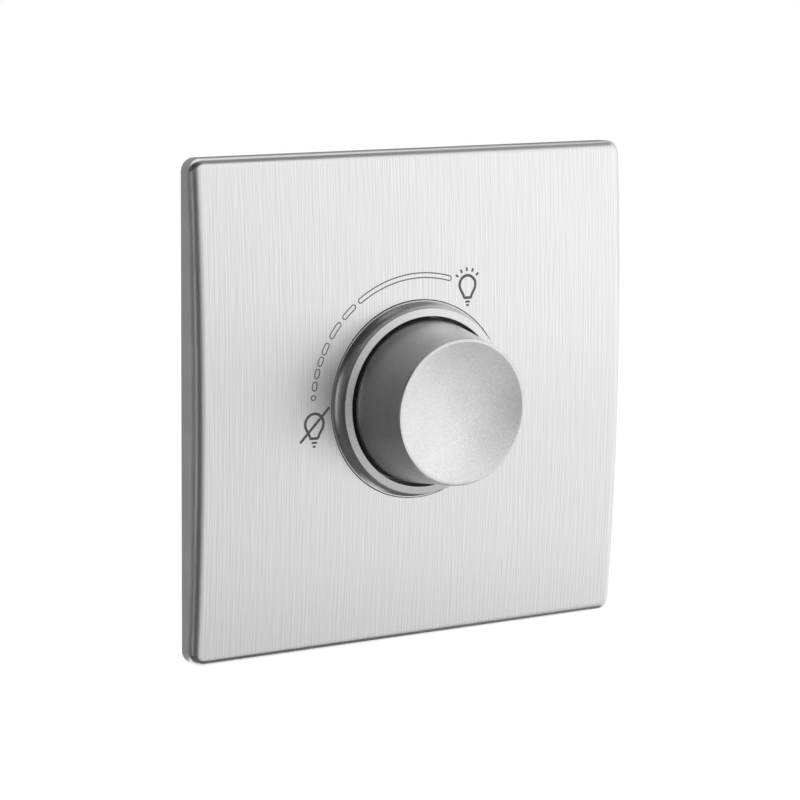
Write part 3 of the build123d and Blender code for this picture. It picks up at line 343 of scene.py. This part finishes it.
def brushed_steel():
    material, tree, shader = finish("brushed_stainless_steel", "#f0f0f1", 0.33, 1.0, Anisotropic=0.7)
    lines = maths(tree, "ADD", streaks(tree, *SHORT_LINES), streaks(tree, *LONG_LINES))
    normal = add(tree, "ShaderNodeNewGeometry").outputs["True Normal"]
    upward = add(tree, "ShaderNodeSeparateXYZ", {"Vector": normal}).outputs["Z"]
    kept = spread(tree, maths(tree, "ABSOLUTE", upward), 1.0, 0.0, *STEEP)
    lines = maths(tree, "MULTIPLY", lines, kept)
    colour = blend_colour(tree, spread(tree, lines, 0.0, 1.0, -0.4, 0.4), "#e5e5e6", "#f5f5f5")
    rough = spread(tree, lines, 0.36, 0.31, -0.4, 0.4)
    across = add(tree, "ShaderNodeCombineXYZ", {"X": 1.0}).outputs["Vector"]
    bumps = bump(tree, noise(tree, place(tree, *GROOVES), detail=1.0), 0.000006, 0.3)
    join(tree, shader, Base_Color=colour, Roughness=rough, Normal=bumps, Tangent=across)
    return material


steel = brushed_steel()
print("steel recipe has", len(steel.node_tree.nodes), "nodes")

# %% [markdown]
# ## Silver paint
#
# The collar and the knob are moulded, then sprayed with a lacquer full of aluminium flakes. Each flake
# lies at its own slight angle, so a fine sparkle runs over the soft reflection. Small cells with random
# tilts stand for the flakes. The knob's lacquer is the coarser one, the collar's is a smoother satin.
# Both forms are turned about the Y axis, so their normals lean in or out but never sideways. The recipe
# takes out the slant that long thin triangles leave, and lets the hub's ribs keep theirs.


# %% Silver metallic lacquer
FLAKE, PEEL, PAINT_CLOUD = 0.00016, 0.0012, 0.006  # sizes of a flake, of the orange peel and of a cloud
FLAT_MIDDLE = (0.0010, 0.0013)  # within the first radius the form's middle counts as flat
RIB_SLANT = (0.45, 0.50)  # past this slant a normal belongs to a rib and stays as it is


def turned_normal(tree):
    """The normal of a form turned about the Y axis, without the slant left by long thin triangles."""
    flat = vectors(tree, "MULTIPLY", add(tree, "ShaderNodeTexCoord").outputs["Object"], (1, 0, 1))
    radius = vectors(tree, "LENGTH", flat, out="Value")
    to_world = {"vector_type": "VECTOR", "convert_from": "OBJECT", "convert_to": "WORLD"}
    outward = {"Vector": vectors(tree, "NORMALIZE", flat)}
    outward = add(tree, "ShaderNodeVectorTransform", outward, **to_world).outputs["Vector"]
    normal = add(tree, "ShaderNodeNewGeometry").outputs["Normal"]
    lean = vectors(tree, "DOT_PRODUCT", normal, outward, "Value")
    lean = maths(tree, "MULTIPLY", lean, spread(tree, radius, 0.0, 1.0, *FLAT_MIDDLE))
    along_axis = vectors(tree, "MULTIPLY", normal, (0, 1, 0))
    even = vectors(tree, "NORMALIZE", vectors(tree, "ADD", scaled(tree, outward, lean), along_axis))
    sideways = vectors(tree, "CROSS_PRODUCT", outward, (0, 1, 0))
    slant = maths(tree, "ABSOLUTE", vectors(tree, "DOT_PRODUCT", normal, sideways, "Value"))
    ribs = {"Factor": spread(tree, slant, 0.0, 1.0, *RIB_SLANT), 4: even, 5: normal}
    return add(tree, "ShaderNodeMix", ribs, data_type="VECTOR").outputs[1]


def silver_paint(name, dark, pale, roughness, tilted):
    """A lacquer whose flakes lie at up to half the given tilt off the surface."""
    material, tree, shader = finish(name, pale, roughness, 1.0)
    cells = add(tree, "ShaderNodeTexVoronoi", {"Vector": place(tree, FLAKE), "Scale": 1.0})
    tilt = vectors(tree, "SUBTRACT", cells.outputs["Color"], (0.5, 0.5, 0.5))
    flake = vectors(tree, "NORMALIZE", vectors(tree, "ADD", turned_normal(tree), scaled(tree, tilt, tilted)))
    grey = add(tree, "ShaderNodeSeparateColor", {"Color": cells.outputs["Color"]}).outputs[0]
    colour = blend_colour(tree, spread(tree, grey, 0.0, 1.0, 0.0, 1.0), dark, pale)
    normal = bump(tree, noise(tree, place(tree, PEEL), detail=1.0), 0.000004, 0.15, flake)
    cloud = noise(tree, place(tree, PAINT_CLOUD), detail=2.0)
    rough = spread(tree, cloud, roughness - 0.04, roughness + 0.04)
    join(tree, shader, Base_Color=colour, Roughness=rough, Normal=normal)
    return material


silver = silver_paint("silver_flake_lacquer", "#dcdcdd", "#eaeaea", 0.38, 0.06)
satin_silver = silver_paint("silver_satin_lacquer", "#d2d2d3", "#dedede", 0.30, 0.02)
print("two silver lacquers of", len(silver.node_tree.nodes), "nodes each")

# %% [markdown]
# ## Moulded plastics
#
# The carrier behind the steel skin, the module's housing and the small control parts are injection
# moulded. Spark-eroded moulds leave an even fine grain, and the flow of the melt leaves faint clouds.
# Their sharp edges are painted paler in colour, which is a painted highlight along each edge.


# %% Plastics
# the last but one size is the reach of the painted edge highlight
MELT_CLOUD, HIGHLIGHT_EDGE_RADIUS, CLOUD_SHADE = 0.009, 0.00025, 0.88


def moulded(name, colour, painted_highlight_colour, roughness, grain=0.00022, depth=0.000006):
    """A plastic with an even grain, faint clouds and sharp edges painted paler as a painted highlight."""
    material, tree, shader = finish(name, colour, roughness)
    grains = noise(tree, place(tree, grain), detail=2.0)
    cloud = noise(tree, place(tree, MELT_CLOUD), detail=3.0)
    dark = tuple(c * CLOUD_SHADE for c in linear(colour)[:3]) + (1.0,)
    clouds = {"Factor": spread(tree, cloud, 0.0, 1.0), 6: dark, 7: linear(colour)}
    base = add(tree, "ShaderNodeMix", clouds, data_type="RGBA").outputs[2]
    # painted highlight: the sharp edges are mixed towards a paler colour
    painted_highlight = {"Factor": edges(tree, HIGHLIGHT_EDGE_RADIUS), 6: base, 7: linear(painted_highlight_colour)}
    with_painted_highlight = add(tree, "ShaderNodeMix", painted_highlight, data_type="RGBA").outputs[2]
    rough = spread(tree, grains, roughness - 0.07, roughness + 0.07)
    join(tree, shader, Base_Color=with_painted_highlight, Roughness=rough, Normal=bump(tree, grains, depth, 0.6))
    return material


# the second colour of each plastic is its painted edge highlight
carrier_grey = moulded("carrier_grey_plastic", "#c4c4c6", "#cacacc", 0.50)
housing_black = moulded("housing_black_plastic", "#26262a", "#4a4a4e", 0.50, grain=0.0003, depth=0.00001)
control_brown = moulded("phenolic_brown", "#6e4526", "#8a6140", 0.45)
epoxy_black = moulded("moulded_epoxy", "#1c1c1f", "#3c3c40", 0.55)
ferrite = moulded("sintered_ferrite", "#2b2b2e", "#55555a", 0.60, grain=0.0001)
capacitor_red = moulded("capacitor_case_red", "#a23a24", "#c0583c", 0.25)
print("six plastics")

# %% [markdown]
# ## Other metals
#
# The support frame is stamped from strip with a zinc coat, the screws and springs are plated, the shaft
# is turned from aluminium, and the terminals are sawn from brass bar. Each has the marks of its making:
# a mottled zinc bloom, rings from the lathe, or straight lines from drawing and sawing.


# %% Metals
BLOOM, WORN_EDGE = 0.004, 0.0002


def metal(name, colour, shade, roughness, grain, depth=0.000004, rings=None):
    """A metal whose marks have the given size; rings adds turning marks along the Y axis."""
    material, tree, shader = finish(name, colour, roughness, 1.0)
    marks = noise(tree, place(tree, *grain), detail=3.0)
    height = marks
    if rings:
        sockets = {"Vector": place(tree, rings), "Scale": 1.0, "Distortion": 0.4, "Detail": 1.0}
        height = add(tree, "ShaderNodeTexWave", sockets, bands_direction="Y").outputs["Fac"]
    mixed = maths(tree, "ADD", marks, noise(tree, place(tree, BLOOM), detail=3.0))
    colours = blend_colour(tree, spread(tree, mixed, 0.0, 1.0, 0.7, 1.3), shade, colour)
    rough = spread(tree, mixed, roughness + 0.08, roughness - 0.06, 0.7, 1.3)
    rough = maths(tree, "ADD", rough, spread(tree, edges(tree, WORN_EDGE), 0.0, -0.08, 0.0, 1.0))
    join(tree, shader, Base_Color=colours, Roughness=rough, Normal=bump(tree, height, depth, 0.6))
    return material


THREAD = {"depth": 0.00008, "rings": 0.0019}
zinc = metal("zinc_plated_steel", "#c3c6ca", "#a9adb2", 0.36, (0.0012, 0.0012, 0.0012))
screw_zinc = metal("screw_zinc", "#cfd0d2", "#b0b2b6", 0.26, (0.0006, 0.0006, 0.0006), **THREAD)
spring = metal("spring_steel", "#b9bbc0", "#9da0a6", 0.24, (0.0002, 0.004, 0.004))
turned_alloy = metal("turned_aluminium", "#d2d2d4", "#bcbcc0", 0.28, (0.0005, 0.0002, 0.0005), rings=0.0011)
nickel = metal("satin_nickel", "#cbc7bf", "#b2aea6", 0.27, (0.0006, 0.0006, 0.0006))
mill_alloy = metal("mill_finish_aluminium", "#cfd0d2", "#b6b8bb", 0.38, (0.0002, 0.0002, 0.02))
brass = metal("sawn_brass", "#c9a257", "#a98444", 0.30, (0.0003, 0.006, 0.0003))
print("seven metals")

# %% [markdown]
# ## Small electrical parts
#
# The board is glass cloth in green resin, whose weave shows faintly through the mask. The winding is
# enamelled copper wire, laid turn by turn. The resistors and the diac wear a baked lacquer with painted
# bands, and the fuse is a clear glass tube.


# %% Board, copper, lacquer and glass
WEAVE, WIRE_TURN, SPECK = 0.0012, 0.0024, 0.0003
GLASS_DRAW = (0.006, 0.0006, 0.0006)  # the tube is drawn along X
RESISTOR_ENDS = (0.0003, 0.0067)  # the heights between which the painted bands are spread
LACQUER = "#c9b083"
BANDS = (  # where each tone starts, as a share of the resistor's length
    (0.14, "#6a4a2a"),
    (0.24, LACQUER),
    (0.36, "#2a2a2a"),
    (0.46, LACQUER),
    (0.58, "#a8742c"),
    (0.68, LACQUER),
)


def laminate():
    material, tree, shader = finish("green_board_laminate", "#2c5a36", 0.38)
    threads = {"Vector": place(tree, WEAVE), "Scale": 1.0}
    warp = add(tree, "ShaderNodeTexWave", threads, bands_direction="X").outputs["Fac"]
    weft = add(tree, "ShaderNodeTexWave", threads, bands_direction="Z").outputs["Fac"]
    cloth = maths(tree, "MULTIPLY", warp, weft)
    colour = blend_colour(tree, cloth, "#28532f", "#356a41")
    rough = spread(tree, cloth, 0.34, 0.42, 0, 1)
    join(tree, shader, Base_Color=colour, Roughness=rough, Normal=bump(tree, cloth, 0.000008, 0.5))
    return material


def winding():
    material, tree, shader = finish("enamelled_copper_wire", "#b86a3c", 0.28, 1.0)
    sockets = {"Vector": place(tree, WIRE_TURN), "Scale": 1.0, "Distortion": 0.3}
    turns = add(tree, "ShaderNodeTexWave", sockets, bands_direction="Y").outputs["Fac"]
    colour = blend_colour(tree, turns, "#7c3f20", "#cf7d4a")
    rough = spread(tree, turns, 0.36, 0.22, 0, 1)
    join(tree, shader, Base_Color=colour, Roughness=rough, Normal=bump(tree, turns, 0.00012, 0.8))
    return material


def lacquer():
    material, tree, shader = finish("baked_lacquer", LACQUER, 0.40)
    where = add(tree, "ShaderNodeTexCoord").outputs["Object"]
    height = add(tree, "ShaderNodeSeparateXYZ", {"Vector": where}).outputs["Z"]
    ramp = add(tree, "ShaderNodeValToRGB", {"Fac": spread(tree, height, 0.0, 1.0, *RESISTOR_ENDS)})
    ramp.color_ramp.interpolation = "CONSTANT"
    stops = ramp.color_ramp.elements
    stops.remove(stops[1])
    stops[0].color = linear(LACQUER)
    for position, tone in BANDS:
        stops.new(position).color = linear(tone)
    speck = noise(tree, place(tree, SPECK))
    rough, specks = spread(tree, speck, 0.34, 0.46), bump(tree, speck, 0.000006, 0.5)
    join(tree, shader, Base_Color=ramp.outputs["Color"], Roughness=rough, Normal=specks)
    return material


def glass():
    material, tree, shader = finish("clear_fuse_glass", "#f4fafa", 0.03, IOR=1.5, Transmission_Weight=1.0)
    drawn = noise(tree, place(tree, *GLASS_DRAW))
    join(tree, shader, Roughness=spread(tree, drawn, 0.02, 0.06), Normal=bump(tree, drawn, 0.000004, 0.4))
    return material


board_green, copper, banded, clear = laminate(), winding(), lacquer(), glass()
print("four electrical finishes")

# %% [markdown]
# ## Giving each solid its finish
#
# The record names a material slot for every solid, which keeps the list short: one finish per slot. Only
# the collar, which shares its slot with the knob, has a smoother lacquer of its own.

# %% Finishes by slot
FINISHES = {
    "brushed_stainless": steel,
    "silver_paint": silver,
    "carrier_plastic": carrier_grey,
    "frame_steel": zinc,
    "screw_steel": screw_zinc,
    "spring_steel": spring,
    "shaft_alloy": turned_alloy,
    "nickel": nickel,
    "housing_plastic": housing_black,
    "control_plastic": control_brown,
    "board_laminate": board_green,
    "sink_aluminium": mill_alloy,
    "component_epoxy": epoxy_black,
    "ferrite": ferrite,
    "copper_wire": copper,
    "capacitor_case": capacitor_red,
    "resistor_coat": banded,
    "fuse_glass": clear,
    "terminal_brass": brass,
}
OWN_FINISH = {"collar_ring": satin_silver}
for part in frame["record"]["subparts"]:
    solid = nodes[part["node"]]
    chosen = OWN_FINISH.get(part["node"], FINISHES[part["material_slot"]])
    for holder in solid.material_slots:
        holder.material = chosen
    if not solid.material_slots:
        solid.data.materials.append(chosen)
print(len(FINISHES), "finishes on", len(nodes), "solids")

# %% [markdown]
# ## Printed marks
#
# A light bulb crossed out stands for off, a shining one for full, and between them a scale of rounded
# dashes grows from a dot to a long arc. They are screen printed in grey, so each line is a hair of ink on
# the steel. The paths are drawn flat; a Geometry Nodes tree then gives them the width of a pen and lays
# them on the bowed plate.

# %% Paths of the marks
SCALE_R = 0.0222  # radius of the scale's middle line
SCALE_MIDDLE = (0.0003, 0.0003)
DASH_HALF = 0.00043  # half the width of a dash
CHORD = 0.25  # millimetres of a dash's long side between two points
CAP_STEPS = 6  # steps round the end of a dash
DASHES = [  # middle angle in degrees and straight length in millimetres, from the dot to the long arc
    (175.6, 0.0),
    (170.3, 0.75),
    (164.4, 0.80),
    (158.6, 0.85),
    (152.4, 1.35),
    (142.7, 2.40),
    (131.8, 2.45),
    (98.9, 19.5),
]


def bent_dash(angle, length):
    """Outline of a rounded dash bent along the scale, from its middle angle and straight length."""
    half = length * MM / SCALE_R / 2
    steps = max(2, int(length / CHORD))
    points = []
    for side in (1, -1):
        middle = math.radians(angle)
        turns = [middle + side * half * (2 * i / steps - 1) for i in range(steps + 1)]
        radius = SCALE_R + side * DASH_HALF
        points += [(radius * math.cos(a), radius * math.sin(a)) for a in turns]
        a = turns[-1]
        for k in range(1, CAP_STEPS):
            turn = math.pi * k / CAP_STEPS
            out = SCALE_R + side * DASH_HALF * math.cos(turn)
            over = side * DASH_HALF * math.sin(turn)
            points.append((out * math.cos(a) - over * math.sin(a), out * math.sin(a) + over * math.cos(a)))
    return [(SCALE_MIDDLE[0] + x, SCALE_MIDDLE[1] + z) for x, z in points]


BULB = [  # right half of a bulb's outline in millimetres, from its top to its neck
    (0.0, 1.62),
    (0.66, 1.48),
    (1.22, 1.10),
    (1.58, 0.58),
    (1.70, 0.0),
    (1.62, -0.58),
    (1.38, -1.10),
    (1.08, -1.58),
    (0.86, -2.02),
    (0.68, -2.46),
]


def bulb_outline(centre, scale):
    """Outline of a light bulb down to its neck."""
    half = [(x * scale * MM, z * scale * MM) for x, z in BULB]
    whole = half + [(-x, z) for x, z in reversed(half[1:])]
    return [(centre[0] + x, centre[1] + z) for x, z in whole]


def line(centre, scale, x0, z0, x1, z1):
    """A straight stroke between two places in millimetres from a bulb's middle."""
    k = scale * MM
    return [(centre[0] + x0 * k, centre[1] + z0 * k), (centre[0] + x1 * k, centre[1] + z1 * k)]


SHINING, OFF = ((0.0104, 0.0203), 1.0), ((-0.0216, -0.0026), 1.1)  # middle and size of each bulb
BASE_BARS = ((0.48, -3.18), (0.27, -3.80))  # half width and height of the bars under a bulb, millimetres
RAY_ANGLES, RAY_FROM, RAY_TO = (144, 118, 92, 66, 40), 2.40, 3.05
SLASH = [(-0.02445, -0.00590), (-0.01855, 0.00010)]  # the stroke through the bulb that is off

dashes = [bent_dash(angle, length) for angle, length in DASHES]
bulbs = [bulb_outline(*SHINING), bulb_outline(*OFF)]
bars = [line(*bulb, -half, height, half, height) for bulb in (SHINING, OFF) for half, height in BASE_BARS]
for turn in RAY_ANGLES:
    c, s = math.cos(math.radians(turn)), math.sin(math.radians(turn))
    bars.append(line(*SHINING, RAY_FROM * c, RAY_FROM * s, RAY_TO * c, RAY_TO * s))
print(len(dashes), "dashes,", len(bulbs), "bulbs,", len(bars), "bars and rays")

# %% [markdown]
# The tree below is the pen. It takes flat paths, samples them evenly, sweeps a small circle along them,
# and then moves each point: its height over the paper shrinks to a film of ink, and the paper becomes the
# plate, whose front is an arc of large radius in height.


# %% Geometry Nodes: the pen
PLATE_H, PLATE_BOW, PLATE_FRONT = 0.090, 0.002, -0.006
bow_radius = (PLATE_H**2 / 4 + PLATE_BOW**2) / (2 * PLATE_BOW)
SCALE_LINE, BULB_LINE, RAY_LINE = 0.0002, 0.00050, 0.00038
PEN_SIZES = {
    "Width": SCALE_LINE,
    "Step": 0.00012,
    "Film": 0.08,
    "Front": PLATE_FRONT,
    "Bow radius": bow_radius,
    "Lift": 0.00001,
}


def pen_tree():
    tree = bpy.data.node_groups.new("ink_pen", "GeometryNodeTree")
    face = tree.interface
    face.new_socket("Paths", in_out="INPUT", socket_type="NodeSocketGeometry")
    for name, value in PEN_SIZES.items():
        face.new_socket(name, in_out="INPUT", socket_type="NodeSocketFloat").default_value = value
    face.new_socket("Ink", in_out="INPUT", socket_type="NodeSocketMaterial")
    face.new_socket("Marks", in_out="OUTPUT", socket_type="NodeSocketGeometry")
    given = tree.nodes.new("NodeGroupInput").outputs
    made = tree.nodes.new("NodeGroupOutput")

    curve = add(tree, "GeometryNodeMeshToCurve", {"Mesh": given["Paths"]}).outputs["Curve"]
    even = {"Curve": curve, "Length": given["Step"]}
    curve = add(tree, "GeometryNodeResampleCurve", even, mode="LENGTH").outputs["Curve"]
    radius = maths(tree, "MULTIPLY", given["Width"], 0.5)
    nib = add(tree, "GeometryNodeCurvePrimitiveCircle", {"Resolution": 8, "Radius": radius}).outputs["Curve"]
    swept = {"Curve": curve, "Profile Curve": nib, "Fill Caps": True}
    tube = add(tree, "GeometryNodeCurveToMesh", swept).outputs["Mesh"]
    where = add(tree, "ShaderNodeSeparateXYZ", {0: add(tree, "GeometryNodeInputPosition").outputs[0]}).outputs
    bow = given["Bow radius"]
    height_squared = maths(tree, "MULTIPLY", where["Z"], where["Z"])
    squared = maths(tree, "SUBTRACT", maths(tree, "MULTIPLY", bow, bow), height_squared)
    fall = maths(tree, "SUBTRACT", bow, maths(tree, "SQRT", squared))
    plate = maths(tree, "ADD", given["Front"], fall)
    film = maths(tree, "MULTIPLY", where["Y"], given["Film"])
    depth = maths(tree, "SUBTRACT", maths(tree, "ADD", plate, film), given["Lift"])
    laid = add(tree, "ShaderNodeCombineXYZ", {"X": where["X"], "Y": depth, "Z": where["Z"]}).outputs[0]
    moved = add(tree, "GeometryNodeSetPosition", {"Geometry": tube, "Position": laid}).outputs["Geometry"]
    real = add(tree, "GeometryNodeRealizeInstances", {"Geometry": moved}).outputs["Geometry"]
    printed = {"Geometry": real, "Material": given["Ink"]}
    inked = add(tree, "GeometryNodeSetMaterial", printed).outputs["Geometry"]
    tree.links.new(inked, made.inputs["Marks"])
    return tree


pen = pen_tree()
print("pen has", len(pen.nodes), "nodes")


# %% Ink and the marks themselves
SCREEN_MESH = 0.00008


def ink_finish():
    material, tree, shader = finish("grey_screen_print_ink", "#6c6c6e", 0.48)
    mesh_marks = noise(tree, place(tree, SCREEN_MESH))
    colour = blend_colour(tree, spread(tree, mesh_marks, 0.0, 1.0), "#636365", "#777779")
    rough = spread(tree, mesh_marks, 0.42, 0.55)
    join(tree, shader, Base_Color=colour, Roughness=rough, Normal=bump(tree, mesh_marks, 0.000002, 0.5))
    return material


ink = ink_finish()


def draw(name, closed, opened, width):
    """Turns flat paths into a plain mesh of ink on the plate, which rides with the module."""
    points, strokes = [], []
    for path, shut in [(p, True) for p in closed] + [(p, False) for p in opened]:
        first = len(points)
        points += [(x, 0.0, z) for x, z in path]
        strokes += [(i, i + 1) for i in range(first, len(points) - 1)]
        if shut:
            strokes.append((len(points) - 1, first))
    sheet = bpy.data.meshes.new(f"{name}_paths")
    sheet.from_pydata(points, strokes, [])
    drawn = bpy.data.objects.new(f"{name}_paths", sheet)
    bpy.context.scene.collection.objects.link(drawn)
    modifier = drawn.modifiers.new("pen", "NODES")
    modifier.node_group = pen
    sockets = {item.name: item.identifier for item in pen.interface.items_tree if item.in_out == "INPUT"}
    for key, value in {**PEN_SIZES, "Width": width, "Ink": ink}.items():
        modifier[sockets[key]] = value
    bpy.context.view_layer.update()
    evaluated = drawn.evaluated_get(bpy.context.evaluated_depsgraph_get())
    mesh = bpy.data.meshes.new_from_object(evaluated)
    bpy.data.objects.remove(drawn)
    mesh.name = name
    mark = bpy.data.objects.new(name, mesh)
    bpy.context.scene.collection.objects.link(mark)
    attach(mark, "module")
    print(name, len(mesh.polygons), "faces of", mesh.materials[0].name)


draw("scale_marks", dashes, [], SCALE_LINE)
draw("bulb_marks", bulbs, [SLASH], BULB_LINE)
draw("ray_and_base_marks", [], bars, RAY_LINE)
